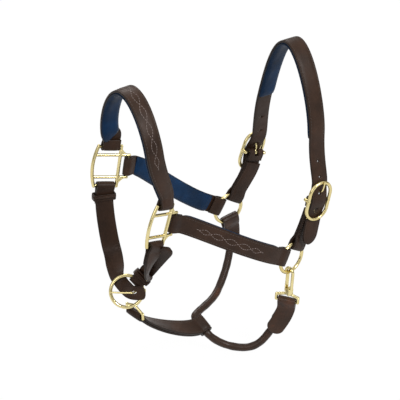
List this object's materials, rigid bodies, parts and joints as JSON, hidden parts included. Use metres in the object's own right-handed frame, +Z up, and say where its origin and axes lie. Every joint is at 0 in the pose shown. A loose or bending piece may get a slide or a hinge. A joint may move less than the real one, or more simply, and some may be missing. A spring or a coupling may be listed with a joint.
{
  "type": "head halter",
  "caption": "Leather stable halter for a horse, with a padded noseband and crown, brass squares, rings and buckles, a rolled throat and a sprung snap.",
  "frame": {"origin": "where the middle of the crown's lining rests on the horse's poll", "axes": "+X from the nose to the poll, +Y to the horse's far (right) side, +Z up"},
  "size_m": [0.3196, 0.178, 0.4477],
  "materials": {
    "leather": "dark brown bridle leather, waxed, with pale stitching",
    "lining": "navy padded lining leather",
    "brass": "polished cast brass"
  },
  "bodies": {
    "halter": {"noseband_strap": "leather", "noseband_lining": "lining", "near_cheek_strap": "leather", "near_cheek_lining": "lining", "far_cheek_strap": "leather", "far_cheek_lining": "lining", "crown_strap": "leather", "crown_lining": "lining", "near_crown_tab": "leather", "far_crown_tab": "leather", "far_chin_strap": "leather", "near_chin_strap": "leather", "near_chin_keeper": "leather", "jaw_strap": "leather", "throat_roll": "leather", "far_throat_tab": "leather", "near_throat_tab": "leather", "near_square": "brass", "far_square": "brass", "chin_ring": "brass", "near_buckle_frame": "brass", "far_buckle_frame": "brass", "snap_body": "brass", "snap_rivet": "brass"},
    "near_ring": {"near_ring": "brass"},
    "far_ring": {"far_ring": "brass"},
    "near_buckle_tongue": {"near_buckle_tongue": "brass"},
    "far_buckle_tongue": {"far_buckle_tongue": "brass"},
    "chin_tongue": {"chin_tongue": "brass"},
    "snap_gate": {"snap_gate": "brass"},
    "far_chin_keeper": {"far_chin_keeper": "leather"}
  },
  "joints": [
    {"name": "near_ring_turn", "type": "hinge", "parent": "halter", "child": "near_ring", "pos_m": [-0.045, -0.075, -0.2812], "axis": [-0.2079, 0.9781, 0], "continuous": true},
    {"name": "far_ring_turn", "type": "hinge", "parent": "halter", "child": "far_ring", "pos_m": [-0.045, 0.075, -0.2812], "axis": [0.0349, 0.9994, 0], "continuous": true},
    {"name": "near_tongue_lift", "type": "hinge", "parent": "halter", "child": "near_buckle_tongue", "pos_m": [-0.01, -0.077, -0.1972], "axis": [0.9744, 0, -0.225], "range_deg": [0, 12]},
    {"name": "far_tongue_lift", "type": "hinge", "parent": "halter", "child": "far_buckle_tongue", "pos_m": [0, 0.077, -0.2052], "axis": [-0.9455, 0, 0.3256], "range_deg": [0, 12]},
    {"name": "chin_tongue_lift", "type": "hinge", "parent": "halter", "child": "chin_tongue", "pos_m": [-0.25526, -0.02754, -0.2842], "axis": [0.1959, 0.3482, 0.9167], "range_deg": [0, 5]},
    {"name": "gate_open", "type": "hinge", "parent": "halter", "child": "snap_gate", "pos_m": [-0.04745, -0.0702, -0.33375], "axis": [0.9929, 0.1191, 0], "range_deg": [0, 11], "stiffness_Nm_per_rad": 0.25, "springref_deg": -5.73},
    {"name": "keeper_slide", "type": "slide", "parent": "halter", "child": "far_chin_keeper", "axis": [-0.0976, -0.0843, -0.9917], "range_m": [0, 0.01]}
  ]
}
